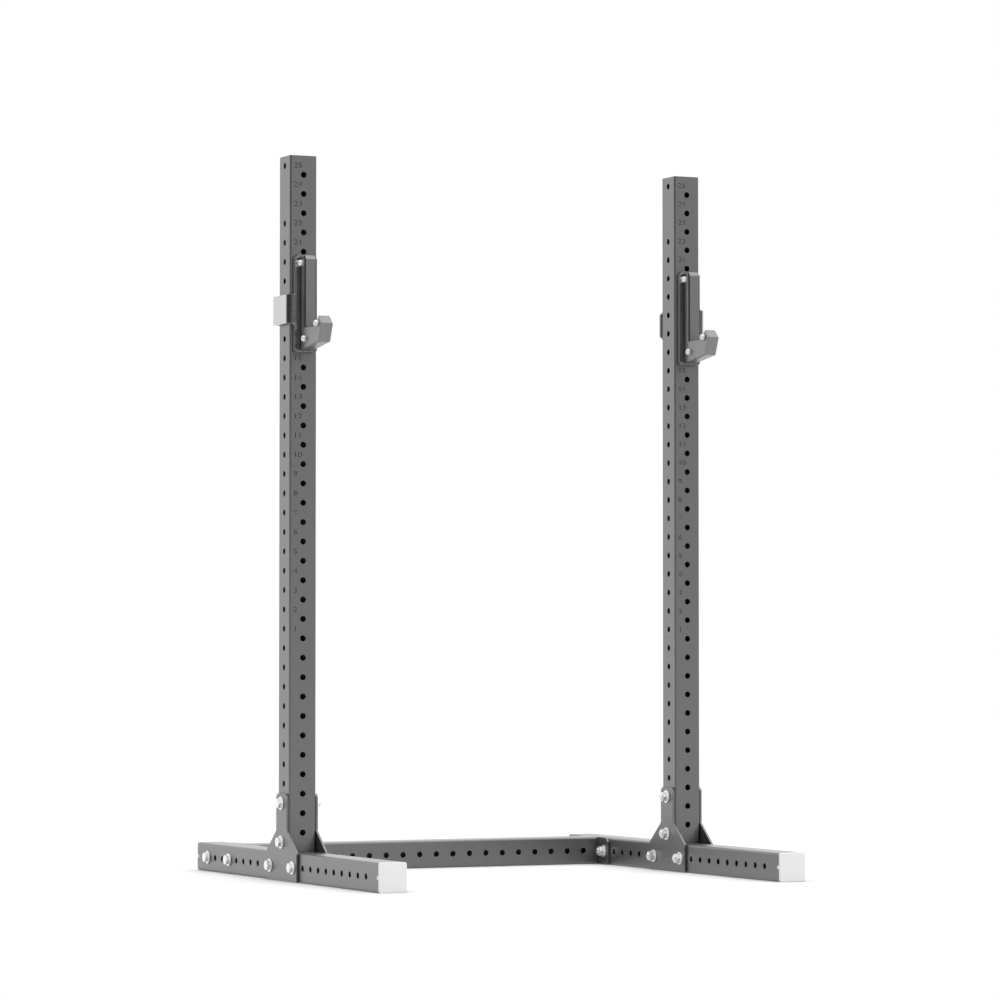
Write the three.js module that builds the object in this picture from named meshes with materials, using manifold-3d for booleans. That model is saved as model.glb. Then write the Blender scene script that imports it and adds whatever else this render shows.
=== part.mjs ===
// Squat stand in millimetres. X runs across the stand, the open front faces -Y and Z is up.
// The origin lies on the floor, midway between the uprights and level with them front to back.
// Two perforated box-tube uprights stand on long feet. Gusset plates bolted on both sides tie each
// upright to its foot, a crossmember ties the feet at the back, and a bar cup hangs on each upright.
import * as THREE from 'three';
import { mergeVertices } from 'three/addons/utils/BufferGeometryUtils.js';
import Module from 'manifold-3d';

const wasm = await Module();
wasm.setup();

// Clearance between touching pieces and overrun of cutting tools
const gap = 0.3;
const overrun = 5;

// Sides of round holes and shanks, and steps in the rounded corners of tubes
const holeSides = 6;
const shankSides = 6;
const cornerSteps = 1;

// Square tube, the same stock in uprights, feet and crossmember
const tubeSide = 76.2;
const tubeWall = 3;
const tubeCorner = 6;
const tubeInnerCorner = 3;

// Rows of pin and bolt holes
const holePitch = 50.8;
const holeDiameter = 15.9;

// Layout of the frame
const uprightLength = 1828.8;
const uprightSpacing = 1143;
const footLength = 1219.2;
const crossmemberSetback = 457.2;
const footHoleCount = 22;
const crossmemberHoleCount = 20;
const bareSideRowsFromTop = [1, 2];

// Gusset plates between foot and upright
const plateThickness = 6.35;
const gussetBase = 203.2;
const gussetStem = 71;
const gussetRise = 152.4;
const gussetShoulder = 56;
const gussetChamfer = 8;

// Flange plates on the ends of the crossmember
const flangeLength = 203.2;
const flangeHeight = 76.2;
const flangeChamfer = 12;

// Hex bolts, washers and nuts of the frame
const boltDiameter = 15.2;
const hexAcrossFlats = 23.8;
const headHeight = 9.9;
const nutHeight = 13.9;
const washerDiameter = 34.5;
const washerThickness = 3;
const washerSides = 8;
const threadEnd = 4.5;

// End caps of the feet
const capThickness = 5;
const capChamfer = 1.5;
const capPlugDepth = 22;
const capPlugWall = 3;
const capTabLength = 9;
const capTabHeight = 9;

// Plugs in the tops of the uprights
const plugDepth = 12;

// Bar cup: the hole row it is level with, counted from the bottom, how far its body sits inward of the
// upright's centre line, and the tall plate with the liner's pad behind it
const cupHoleRow = 28;
const bodyOffset = 1.3;
const cupPlateWidth = 63.5;
const cupPlateRise = 142;
const cupPlateDrop = 112;
const cupPlateCornerWidth = 13;
const cupPlateCornerHeight = 10;
const linerThickness = 10.5;

// Bar cup: the bent steel bracket, a tall plate with a band at its middle that wraps the outer side
// and the back of the upright
const bracketThickness = 5;
const bandHeight = 76.2;
const bandSideStandoff = 7.9;
const bandBackStandoff = 8.2;
const bandFrontRadius = 19.5;
const bandBackRadius = 6;
const bandBackReach = 39;
const bandBackChamfer = 8;
const bandFrontSteps = 6;
const bandBackSteps = 2;

// Bar cup: the two pins inside the band that enter the side holes of the upright
const pinDiameter = 15.2;
const pinReach = 22;
const pinChamfer = 2;
const pinSides = 8;

// Bar cup: the moulded J-shaped body, measured forward from its root and up from the hole row
const bodyWidth = 34.6;
const bodyChamfer = 3.5;
const bodyRise = 140;
const bodyStemDepth = 29;
const bodyTopBevelDepth = 8;
const bodyTopBevelHeight = 10.5;
const shelfDrop = 47.8;
const shelfDepth = 66;
const lipRampDepth = 21;
const lipRise = 22.4;
const lipTopDepth = 3;
const lipBevelDepth = 21;
const lipBevelHeight = 20.6;
const lipFaceSetback = 19;
const lipFaceHeight = 48;
const heelDrop = 111;

// Bar cup: the steel tongue inside the body and the bolts through both, as depths and heights. All
// bolts have their heads on the left side of the stand and end flush in the other side
const tongueThickness = 6;
const tongueMargin = 7;
const cupBoltDiameter = 10;
const cupHeadDiameter = 17;
const cupHeadHeight = 6.5;
const cupHeadChamfer = 2;
const cupBoltSides = 6;
const upperBoltDepth = 9.2;
const upperBoltHeight = 120;
const lowerBoltDepth = 33;
const lowerBoltHeight = -80;
const lipBoltDepth = 113.5;
const lipBoltHeight = -45;

// Levels and distances that follow from the sizes above
const tubeHalf = tubeSide / 2;
const uprightBase = tubeSide + gap;
const cupLevel = uprightBase + cupHoleRow * holePitch;
const plateOuter = tubeHalf + gap + plateThickness;
const padFront = tubeHalf + gap + linerThickness;
const bracketBack = padFront + gap;
const bracketFront = bracketBack + bracketThickness;
const bodyRoot = bracketFront + gap;
const bandSideOuter = tubeHalf + bandSideStandoff + bracketThickness;
const bandBackOuter = tubeHalf + bandBackStandoff + bracketThickness;
const bandBendCentre = [bandSideOuter - bandFrontRadius, bandFrontRadius - bracketFront];

const paint = new THREE.MeshStandardMaterial({ color: 0x6e6e70, roughness: 0.45, metalness: 0.3 });
const zinc = new THREE.MeshStandardMaterial({ color: 0xd9dadb, roughness: 0.3, metalness: 0.9 });
const polishedSteel = new THREE.MeshStandardMaterial({ color: 0xb9babb, roughness: 0.25, metalness: 1 });
const cupPlastic = new THREE.MeshStandardMaterial({ color: 0x737375, roughness: 0.5, metalness: 0 });
const linerPlastic = new THREE.MeshStandardMaterial({ color: 0x5c5c5e, roughness: 0.6, metalness: 0 });
const plugPlastic = new THREE.MeshStandardMaterial({ color: 0x202022, roughness: 0.6, metalness: 0 });
const capPlastic = new THREE.MeshStandardMaterial({ color: 0xf1f1f0, roughness: 0.5, metalness: 0 });

// A closed mesh as a solid that can be joined and cut
function solidOf(geometry) {
  const bare = geometry.clone();
  bare.deleteAttribute('normal');
  bare.deleteAttribute('uv');
  const merged = mergeVertices(bare);
  const mesh = new wasm.Mesh({
    numProp: 3,
    vertProperties: new Float32Array(merged.attributes.position.array),
    triVerts: new Uint32Array(merged.index.array),
  });
  return new wasm.Manifold(mesh);
}

function geometryOf(solid) {
  const mesh = solid.getMesh();
  const geometry = new THREE.BufferGeometry();
  geometry.setAttribute('position', new THREE.BufferAttribute(mesh.vertProperties, 3));
  geometry.setIndex(new THREE.BufferAttribute(mesh.triVerts, 1));
  geometry.computeVertexNormals();
  return geometry;
}

function joined(geometries) {
  return geometries.map(solidOf).reduce((sum, solid) => sum.add(solid));
}

function cut(geometry, cutters) {
  return geometryOf(solidOf(geometry).subtract(joined(cutters)));
}

// The same piece for the other side of the stand
function mirrored(geometry) {
  const flipped = geometry.clone().scale(-1, 1, 1);
  flipped.index.array.reverse();
  flipped.computeVertexNormals();
  return flipped;
}

function block(low, high) {
  const size = high.map((value, axis) => value - low[axis]);
  const middle = high.map((value, axis) => (value + low[axis]) / 2);
  return new THREE.BoxGeometry(...size).translate(...middle);
}

// A solid turned about the X axis, from pairs of station and radius that begin and end on the axis
function turned(profile, sides) {
  const points = profile.map(([station, radius]) => new THREE.Vector2(radius, station));
  return new THREE.LatheGeometry(points, sides).rotateZ(-Math.PI / 2);
}

function rod(radius, from, to, sides) {
  return turned([[from, 0], [from, radius], [to, radius], [to, 0]], sides);
}

// Radius of a polygon's corners when its flats lie a given distance apart
function cornerRadius(acrossFlats, sides) {
  return acrossFlats / 2 / Math.cos(Math.PI / sides);
}

// The circle of a hole touches its polygon's flats, so that a round pin passes
function holeCutter(from, to, diameter = holeDiameter) {
  return rod(cornerRadius(diameter, holeSides), from, to, holeSides);
}

function roundedSquare(side, radius) {
  const edge = side / 2 - radius;
  const shape = new THREE.Shape();
  shape.absarc(edge, edge, radius, 0, Math.PI / 2);
  shape.absarc(-edge, edge, radius, Math.PI / 2, Math.PI);
  shape.absarc(-edge, -edge, radius, Math.PI, 1.5 * Math.PI);
  shape.absarc(edge, -edge, radius, 1.5 * Math.PI, 2 * Math.PI);
  return shape;
}

function extruded(shape, depth) {
  return new THREE.ExtrudeGeometry(shape, { depth, bevelEnabled: false, curveSegments: cornerSteps });
}

// An extrusion whose edges are chamfered within its own depth and outline
function chamfered(shape, depth, chamfer) {
  const geometry = new THREE.ExtrudeGeometry(shape, {
    depth: depth - 2 * chamfer,
    bevelThickness: chamfer,
    bevelSize: chamfer,
    bevelOffset: -chamfer,
    bevelSegments: 1,
    curveSegments: cornerSteps,
  });
  return geometry.translate(0, 0, chamfer);
}

function outline(points) {
  return new THREE.Shape(points.map(([x, y]) => new THREE.Vector2(x, y)));
}

function arc(centre, radius, start, end, steps) {
  return Array.from({ length: steps + 1 }, (_, step) => {
    const angle = start + ((end - start) * step) / steps;
    return [centre[0] + radius * Math.cos(angle), centre[1] + radius * Math.sin(angle)];
  });
}

// A counterclockwise outline drawn in by a margin on every side
function inset(points, margin) {
  const normal = (from, to) => {
    const along = new THREE.Vector2(to[0] - from[0], to[1] - from[1]).normalize();
    return new THREE.Vector2(-along.y, along.x);
  };
  return points.map((point, index) => {
    const before = normal(points.at(index - 1), point);
    const after = normal(point, points[(index + 1) % points.length]);
    const shift = before.clone().add(after).multiplyScalar(margin / (1 + before.dot(after)));
    return [point[0] + shift.x, point[1] + shift.y];
  });
}

// An outline seen from the front, extruded from Y = 0 towards -Y
function facingFront(geometry) {
  return geometry.rotateX(Math.PI / 2);
}

// An outline seen from the right side, with Y and Z as its axes, extruded about X = 0
function acrossX(geometry, width) {
  return geometry.translate(0, 0, -width / 2).rotateX(Math.PI / 2).rotateZ(Math.PI / 2);
}

// An outline of distances forward and heights, extruded about X = 0
function forwardUp(geometry, width) {
  return geometry.translate(0, 0, -width / 2).rotateX(Math.PI / 2).rotateZ(-Math.PI / 2);
}

// Hole stations along a tube, spread evenly about its middle
function centredRows(count) {
  return Array.from({ length: count }, (_, index) => (index - (count - 1) / 2) * holePitch);
}

// A length of tube along Z about its middle, with holes through the front and through the sides
function perforatedTube(length, frontRows, sideRows, moreCutters = []) {
  const section = roundedSquare(tubeSide, tubeCorner);
  section.holes.push(roundedSquare(tubeSide - 2 * tubeWall, tubeInnerCorner));
  const tube = extruded(section, length).translate(0, 0, -length / 2);
  const reach = tubeHalf + overrun;
  const sideHoles = sideRows.map((row) => holeCutter(-reach, reach).translate(0, 0, row));
  const frontHoles = frontRows.map((row) => (
    holeCutter(-reach, reach).rotateZ(Math.PI / 2).translate(0, 0, row)
  ));
  return cut(tube, [...sideHoles, ...frontHoles, ...moreCutters]);
}

// Front holes lie at whole pitches above the foot and side holes halfway between them
function uprightGeometry() {
  const rows = Math.round(uprightLength / holePitch);
  const bottom = -uprightLength / 2;
  const frontRows = Array.from({ length: rows - 1 }, (_, row) => bottom + (row + 1) * holePitch);
  const sideRows = Array.from({ length: rows }, (_, row) => row)
    .filter((row) => !bareSideRowsFromTop.includes(rows - 1 - row))
    .map((row) => bottom + (row + 0.5) * holePitch);
  return perforatedTube(uprightLength, frontRows, sideRows);
}

// Each end of a foot has a small notch in both sides, where the tabs of its cap show
function footGeometry() {
  const start = footLength / 2 - capTabLength;
  const end = footLength / 2 + overrun;
  const reach = tubeHalf + overrun;
  const notch = block([-reach, -capTabHeight / 2, start], [reach, capTabHeight / 2, end]);
  const notches = [notch, notch.clone().rotateX(Math.PI)];
  return perforatedTube(footLength, [], centredRows(footHoleCount), notches).rotateX(Math.PI / 2);
}

function crossmemberGeometry() {
  const length = uprightSpacing - 2 * (plateOuter + gap);
  return perforatedTube(length, centredRows(crossmemberHoleCount), []).rotateY(Math.PI / 2);
}

// Bolt places of a gusset and of a crossmember flange, as positions along Y and heights
const gussetBolts = [
  [0, uprightBase + 0.5 * holePitch],
  [0, uprightBase + 2.5 * holePitch],
  [-1.5 * holePitch, tubeHalf],
  [1.5 * holePitch, tubeHalf],
];
const flangeBolts = [
  [crossmemberSetback - 1.5 * holePitch, tubeHalf],
  [crossmemberSetback + 1.5 * holePitch, tubeHalf],
];

function boltedPlate(points, bolts) {
  const plate = acrossX(extruded(outline(points), plateThickness), plateThickness);
  const reach = plateThickness / 2 + overrun;
  return cut(plate, bolts.map(([y, z]) => holeCutter(-reach, reach).translate(0, y, z)));
}

// An outline that is symmetric about the vertical, from its right half listed upwards
function symmetric(rightHalf) {
  return [...rightHalf, ...rightHalf.map(([across, up]) => [-across, up]).reverse()];
}

function gussetGeometry() {
  const base = gussetBase / 2;
  const stem = gussetStem / 2;
  const top = tubeSide + gussetRise;
  const points = symmetric([
    [base, 0],
    [base, tubeSide],
    [stem, tubeSide + gussetShoulder],
    [stem, top - gussetChamfer],
    [stem - gussetChamfer, top],
  ]);
  return boltedPlate(points, gussetBolts);
}

function flangeGeometry() {
  const half = flangeLength / 2;
  const points = symmetric([
    [half, 0],
    [half, flangeHeight - flangeChamfer],
    [half - flangeChamfer, flangeHeight],
  ]).map(([y, z]) => [y + crossmemberSetback, z]);
  return boltedPlate(points, flangeBolts);
}

// A washer on a face at X = 0 with a hexagon on it that faces +X
function washerAndHexagon(height) {
  const washerEnd = gap + washerThickness;
  return joined([
    rod(washerDiameter / 2, gap, washerEnd, washerSides),
    rod(cornerRadius(hexAcrossFlats, shankSides), washerEnd - gap, washerEnd + height, shankSides),
  ]);
}

// A bolt seated on a face at X = 0, with a shank towards -X that clamps a given grip
function boltGeometry(grip) {
  const tip = grip + gap + washerThickness + nutHeight + threadEnd;
  const shank = rod(boltDiameter / 2, -tip, gap + washerThickness, shankSides);
  return geometryOf(washerAndHexagon(headHeight).add(solidOf(shank)));
}

function nutGeometry() {
  const bore = rod(boltDiameter / 2 + 2 * gap, -overrun, gap + washerThickness + nutHeight + overrun, shankSides);
  return geometryOf(washerAndHexagon(nutHeight).subtract(solidOf(bore)));
}

// A foot cap that faces +Y: a flange over the tube's end, a hollow plug in it and a tab on each side
function footCapGeometry() {
  const square = roundedSquare(tubeSide, tubeCorner);
  const face = chamfered(square, capThickness, capChamfer);
  const rim = extruded(square, capThickness - capChamfer);
  const plugSide = tubeSide - 2 * (tubeWall + gap);
  const plugSection = roundedSquare(plugSide, tubeInnerCorner);
  plugSection.holes.push(roundedSquare(plugSide - 2 * capPlugWall, tubeInnerCorner));
  const plug = extruded(plugSection, capPlugDepth + capThickness / 2).translate(0, 0, -capPlugDepth);
  const tab = block(
    [tubeHalf - tubeWall, -capTabHeight / 2 + gap, -capTabLength],
    [tubeHalf, capTabHeight / 2 - gap, capThickness / 2],
  );
  const tabs = [tab, tab.clone().rotateZ(Math.PI)];
  return geometryOf(joined([face, rim, plug, ...tabs])).rotateX(-Math.PI / 2);
}

function topPlugGeometry() {
  const side = tubeSide - 2 * (tubeWall + gap);
  return extruded(roundedSquare(side, tubeInnerCorner), plugDepth).translate(0, 0, -plugDepth);
}

// In a bar cup's own frame X points to the outer side of the stand and Z = 0 is its hole row.
// Liner and bracket share this outline, seen from the front
function cupPlateOutline() {
  const half = cupPlateWidth / 2;
  return outline(symmetric([
    [half - cupPlateCornerWidth, -cupPlateDrop],
    [half, -cupPlateDrop + cupPlateCornerHeight],
    [half, cupPlateRise - cupPlateCornerHeight],
    [half - cupPlateCornerWidth, cupPlateRise],
  ]));
}

// The line of the band in plan at a depth below its outer face
function bandLine(depth) {
  const backCentre = [bandSideOuter - bandBackRadius, bandBackOuter - bandBackRadius];
  return [
    [0, depth - bracketFront],
    ...arc(bandBendCentre, bandFrontRadius - depth, -Math.PI / 2, 0, bandFrontSteps),
    ...arc(backCentre, bandBackRadius - depth, 0, Math.PI / 2, bandBackSteps),
    [-bandBackReach, bandBackOuter - depth],
  ];
}

// Cutters that chamfer the upper and the lower corner of the leg behind the upright
function legCorners() {
  const end = -bandBackReach;
  const edge = bandHeight / 2;
  const far = bandBackChamfer + overrun;
  const corner = [[end - overrun, edge - far], [end + far, edge + overrun], [end - overrun, edge + overrun]];
  const depth = bandBackOuter + overrun - tubeHalf;
  return joined([1, -1].map((way) => {
    const wedge = extruded(outline(corner.map(([x, z]) => [x, way * z])), depth);
    return facingFront(wedge).translate(0, bandBackOuter + overrun, 0);
  }));
}

function pinGeometry() {
  const tip = tubeHalf - pinReach;
  const radius = pinDiameter / 2;
  const root = bandSideOuter - bracketThickness / 2;
  return turned([[tip, 0], [tip, radius - pinChamfer], [tip + pinChamfer, radius], [root, radius], [root, 0]], pinSides);
}

const pinHeights = [-holePitch / 2, holePitch / 2];

function bracketGeometry() {
  const section = outline([...bandLine(0), ...bandLine(bracketThickness).reverse()]);
  const strip = extruded(section, bandHeight).translate(0, 0, -bandHeight / 2);
  const plate = facingFront(extruded(cupPlateOutline(), bracketThickness)).translate(0, -bracketBack, 0);
  const pins = pinHeights.map((height) => pinGeometry().translate(0, 0, height));
  return geometryOf(joined([strip, plate, ...pins]).subtract(legCorners()));
}

// The moulded liner keeps the steel off the paint: a tall pad in front, and at the band's height
// a wall beside and behind the upright
function linerGeometry() {
  const pad = facingFront(extruded(cupPlateOutline(), linerThickness)).translate(0, -tubeHalf - gap, 0);
  const depth = bracketThickness + gap;
  const radius = bandFrontRadius - depth;
  const side = tubeHalf + gap;
  const outer = bandSideOuter - depth;
  const back = bandBackOuter - depth;
  const end = -bandBackReach + gap;
  const section = outline([
    [0, -padFront],
    ...arc(bandBendCentre, radius, -Math.PI / 2, 0, bandBackSteps),
    [outer, back - bandBackRadius],
    [outer - bandBackRadius, back],
    [end, back],
    [end, side],
    [side, side],
    [side, -side],
    [0, -side],
  ]);
  const wrap = extruded(section, bandHeight).translate(0, 0, -bandHeight / 2);
  const pinHoles = pinHeights.map((height) => (
    holeCutter(tubeHalf - overrun, bandSideOuter + overrun, pinDiameter + 2 * gap).translate(0, 0, height)
  ));
  const cutters = joined(pinHoles).add(legCorners());
  return geometryOf(joined([pad, wrap]).subtract(cutters));
}

// Side outline of the cup's body as distances forward of its root and heights, counterclockwise.
// For the tongue's smaller outline the root is set back, with the sloping underside running on to it,
// and the ramp and the bevel of the lip meet in a point
function bodyPoints(root, lipIsSharp) {
  const shelfEnd = bodyStemDepth + shelfDepth;
  const lipBack = shelfEnd + lipRampDepth;
  const lipFront = lipBack + lipTopDepth;
  const faceTop = lipFront + lipBevelDepth;
  const faceBottom = faceTop - lipFaceSetback;
  const lipTopHeight = lipRise - shelfDrop;
  const faceTopHeight = lipTopHeight - lipBevelHeight;
  const faceBottomHeight = faceTopHeight - lipFaceHeight;
  const heelSlope = (faceBottomHeight + heelDrop) / faceBottom;
  const rampRun = lipRampDepth / lipRise;
  const pointHeight = lipTopDepth / (rampRun + lipBevelDepth / lipBevelHeight);
  const point = [lipBack + pointHeight * rampRun, lipTopHeight + pointHeight];
  return [
    [root, heelSlope * root - heelDrop],
    [faceBottom, faceBottomHeight],
    [faceTop, faceTopHeight],
    ...(lipIsSharp ? [point] : [[lipFront, lipTopHeight], [lipBack, lipTopHeight]]),
    [shelfEnd, -shelfDrop],
    [bodyStemDepth, -shelfDrop],
    [bodyStemDepth, bodyRise - bodyTopBevelHeight],
    [bodyStemDepth - bodyTopBevelDepth, bodyRise],
    [root, bodyRise],
  ];
}

const cupBolts = [
  [upperBoltDepth, upperBoltHeight],
  [lowerBoltDepth, lowerBoltHeight],
  [lipBoltDepth, lipBoltHeight],
];

function cupBoltHoles() {
  const reach = bodyWidth / 2 + overrun;
  const hole = () => holeCutter(-reach, reach, cupBoltDiameter + 2 * gap);
  return cupBolts.map(([depth, height]) => hole().translate(0, -depth, height));
}

function tongueGeometry() {
  const points = inset(bodyPoints(-tongueMargin, true), tongueMargin);
  const plate = forwardUp(extruded(outline(points), tongueThickness), tongueThickness);
  return cut(plate, cupBoltHoles()).translate(0, -bodyRoot, 0);
}

// The body has a slot from behind that takes the tongue
function bodyGeometry() {
  const body = forwardUp(chamfered(outline(bodyPoints(0, false)), bodyWidth, bodyChamfer), bodyWidth);
  const slotPoints = inset(bodyPoints(-tongueMargin - overrun, true), tongueMargin - gap);
  const slotWidth = tongueThickness + 2 * gap;
  const slot = forwardUp(extruded(outline(slotPoints), slotWidth), slotWidth);
  return cut(body, [slot, ...cupBoltHoles()]).translate(0, -bodyRoot, 0);
}

// A bolt through the body with a domed head on its left
function cupBoltGeometry() {
  const seat = bodyWidth / 2 + gap;
  const end = seat + cupHeadHeight;
  const head = cupHeadDiameter / 2;
  const shank = cupBoltDiameter / 2;
  return turned([
    [-end, 0],
    [-end, head - cupHeadChamfer],
    [cupHeadChamfer - end, head],
    [-seat, head],
    [-seat, shank],
    [bodyWidth / 2, shank],
    [bodyWidth / 2, 0],
  ], cupBoltSides);
}

function named(name, geometry, material) {
  const mesh = new THREE.Mesh(geometry, material);
  mesh.name = name;
  return mesh;
}

function placed(mesh, x, y, z, turn = 0) {
  mesh.position.set(x, y, z);
  mesh.rotation.z = turn;
  return mesh;
}

// A bolt and its nut through one place, with the head on the outer side. Way is 1 on the right side
function boltPair(label, way, headSeat, [y, z]) {
  const grip = headSeat + plateOuter;
  const outward = way > 0 ? 0 : Math.PI;
  return [
    placed(named(`bolt_${label}`, boltGeometry(grip), zinc), way * headSeat, y, z, outward),
    placed(named(`nut_${label}`, nutGeometry(), zinc), -way * plateOuter, y, z, outward + Math.PI),
  ];
}

// One upright on its foot, with everything that is bolted to both, about the upright's centre line
function standSide(side, way) {
  const plateCentre = tubeHalf + gap + plateThickness / 2;
  const capEnd = footLength / 2 + gap;
  const parts = [
    placed(named(`upright_${side}`, uprightGeometry(), paint), 0, 0, uprightBase + uprightLength / 2),
    placed(named(`upright_plug_${side}`, topPlugGeometry(), plugPlastic), 0, 0, uprightBase + uprightLength),
    placed(named(`foot_${side}`, footGeometry(), paint), 0, 0, tubeHalf),
    placed(named(`foot_cap_front_${side}`, footCapGeometry(), capPlastic), 0, -capEnd, tubeHalf, Math.PI),
    placed(named(`foot_cap_rear_${side}`, footCapGeometry(), capPlastic), 0, capEnd, tubeHalf),
    placed(named(`gusset_outer_${side}`, gussetGeometry(), paint), way * plateCentre, 0, 0),
    placed(named(`gusset_inner_${side}`, gussetGeometry(), paint), -way * plateCentre, 0, 0),
    placed(named(`flange_${side}`, flangeGeometry(), paint), -way * plateCentre, 0, 0),
  ];
  gussetBolts.forEach((place, index) => {
    parts.push(...boltPair(`gusset_${index + 1}_${side}`, way, plateOuter, place));
  });
  flangeBolts.forEach((place, index) => {
    parts.push(...boltPair(`flange_${index + 1}_${side}`, way, tubeHalf, place));
  });
  return parts;
}

function barCup(side, way) {
  const sided = (geometry) => (way > 0 ? geometry : mirrored(geometry));
  const centre = -way * bodyOffset;
  const parts = [
    named(`cup_liner_${side}`, sided(linerGeometry()), linerPlastic),
    named(`cup_bracket_${side}`, sided(bracketGeometry()), polishedSteel),
    placed(named(`cup_tongue_${side}`, tongueGeometry(), paint), centre, 0, 0),
    placed(named(`cup_body_${side}`, bodyGeometry(), cupPlastic), centre, 0, 0),
  ];
  cupBolts.forEach(([depth, height], index) => {
    const bolt = named(`cup_bolt_${index + 1}_${side}`, cupBoltGeometry(), zinc);
    parts.push(placed(bolt, centre, -bodyRoot - depth, height));
  });
  const cup = new THREE.Group();
  cup.add(...parts);
  cup.position.z = cupLevel;
  return cup;
}

const group = new THREE.Group();
const crossmember = named('crossmember', crossmemberGeometry(), paint);
group.add(placed(crossmember, 0, crossmemberSetback, tubeHalf));
for (const [side, way] of [['left', -1], ['right', 1]]) {
  const half = new THREE.Group();
  half.add(...standSide(side, way), barCup(side, way));
  half.position.x = way * uprightSpacing / 2;
  group.add(half);
}

export default group;
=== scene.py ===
# A squat stand on a white studio floor, in metres, with X across the stand, Z up and the open front
# towards -Y. The sections below follow the stand as it is put together: the studio, the perforated
# tubes, the plates and bolts that join them, the caps, and the two bar cups.
import math

import bmesh
import bpy
from mathutils import Matrix, Vector


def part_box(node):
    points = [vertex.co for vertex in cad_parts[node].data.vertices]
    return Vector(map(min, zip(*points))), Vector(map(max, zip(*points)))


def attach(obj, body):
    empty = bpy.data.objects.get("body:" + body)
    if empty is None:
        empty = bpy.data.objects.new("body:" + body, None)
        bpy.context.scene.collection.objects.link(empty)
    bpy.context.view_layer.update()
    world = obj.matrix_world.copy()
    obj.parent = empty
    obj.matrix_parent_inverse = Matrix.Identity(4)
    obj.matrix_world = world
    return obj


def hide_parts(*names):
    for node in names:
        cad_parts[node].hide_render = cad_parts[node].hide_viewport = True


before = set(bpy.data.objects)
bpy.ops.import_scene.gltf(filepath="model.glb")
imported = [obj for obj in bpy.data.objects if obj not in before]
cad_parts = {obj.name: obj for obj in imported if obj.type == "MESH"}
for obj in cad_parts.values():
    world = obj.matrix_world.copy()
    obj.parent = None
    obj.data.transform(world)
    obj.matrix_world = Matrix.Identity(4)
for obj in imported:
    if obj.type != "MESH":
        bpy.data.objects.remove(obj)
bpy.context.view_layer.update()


# The camera stands low, in front of the stand and to its left, with a long lens, and looks a
# little upwards.
camera_place = (-4.850, -10.125, 0.6139)
camera_turn = 0.4483
camera_rise = 0.0351
lens_length = 150.25
sensor_width = 36
far_limit = 200

bpy.ops.object.camera_add(
    location=camera_place, rotation=(math.pi / 2 + camera_rise, 0, -camera_turn)
)
camera = bpy.context.active_object
camera.name = "camera"
camera.data.lens = lens_length
camera.data.sensor_width = sensor_width
camera.data.clip_end = far_limit
bpy.context.scene.camera = camera
bpy.context.scene.view_settings.view_transform = "Standard"


# The studio is a white room with a bright ceiling. It is dark on the left, and low down in front, so
# that the rounded vertical edges of the tubes and the polished sheets show dark. A wire is one shader
# socket, and sums of wires add nodes.
class Wire:
    def __init__(self, tree, socket):
        self.tree = tree
        self.socket = socket

    def maths(self, operation, first, second):
        return add_node(self.tree, "ShaderNodeMath", {"operation": operation}, {0: first, 1: second})

    def __add__(self, other):
        return self.maths("ADD", self, other)

    def __sub__(self, other):
        return self.maths("SUBTRACT", self, other)

    def __mul__(self, other):
        return self.maths("MULTIPLY", self, other)

    def __rsub__(self, other):
        return self.maths("SUBTRACT", other, self)

    __radd__ = __add__
    __rmul__ = __mul__


def add_node(tree, kind, settings, values, output=0):
    node = tree.nodes.new(kind)
    for name, setting in settings.items():
        setattr(node, name, setting)
    for name, value in values.items():
        if isinstance(value, Wire):
            tree.links.new(value.socket, node.inputs[name])
        else:
            node.inputs[name].default_value = value
    return Wire(tree, node.outputs[output]) if node.outputs else node


def ease(value, low, high):
    settings = {"interpolation_type": "SMOOTHSTEP"}
    return add_node(value.tree, "ShaderNodeMapRange", settings, {"Value": value, 1: low, 2: high})


def along(line, direction):
    settings = {"operation": "DOT_PRODUCT"}
    return add_node(line.tree, "ShaderNodeVectorMath", settings, {0: line, 1: direction}, "Value")


def mixed(factor, first, second):
    return first + factor * (second - first)


front_level = 1.7
back_level = 1.42
front_to_back = 0.6
dark_direction = (-0.93, -0.36, 0)
dark_level = 0.04
dark_start = 0.35
dark_end = 0.85
low_dark_direction = (0.4, -0.92, 0)
low_dark_level = 0.12
low_dark_start = 0.25
low_dark_end = 0.75
low_dark_top_start = 0.09
low_dark_top_end = 0.22
ceiling_level = 2.3
ceiling_start = 0.4
ceiling_end = 0.8

world = bpy.data.worlds.new("studio")
bpy.context.scene.world = world
world.use_nodes = True
air = world.node_tree
air.nodes.clear()
sight_line = add_node(air, "ShaderNodeTexCoord", {}, {})
rise = along(sight_line, (0, 0, 1))
rearward = along(sight_line, (0, 1, 0))
light = mixed(ease(rearward, -front_to_back, front_to_back), front_level, back_level)
light = mixed(ease(along(sight_line, dark_direction), dark_start, dark_end), light, dark_level)
level_sight = 1 - ease(rise.maths("ABSOLUTE", rise, 0), low_dark_top_start, low_dark_top_end)
low_dark = level_sight * ease(along(sight_line, low_dark_direction), low_dark_start, low_dark_end)
light = mixed(low_dark, light, low_dark_level)
light = mixed(ease(rise, ceiling_start, ceiling_end), light, ceiling_level)
camera_ray = add_node(air, "ShaderNodeLightPath", {}, {}, "Is Camera Ray")
light = mixed(camera_ray, light, 1)
glow = add_node(air, "ShaderNodeBackground", {}, {"Color": (1, 1, 1, 1), "Strength": light})
add_node(air, "ShaderNodeOutputWorld", {}, {"Surface": glow})


# The floor is a plain white sheet. It keeps the soft shadow near the feet, and farther out it
# fades into the white of the room.
floor_width = 80
floor_colour = (0.6, 0.6, 0.6, 1)
floor_shine = 0.3
fade_start = 1.4
fade_end = 4


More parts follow.
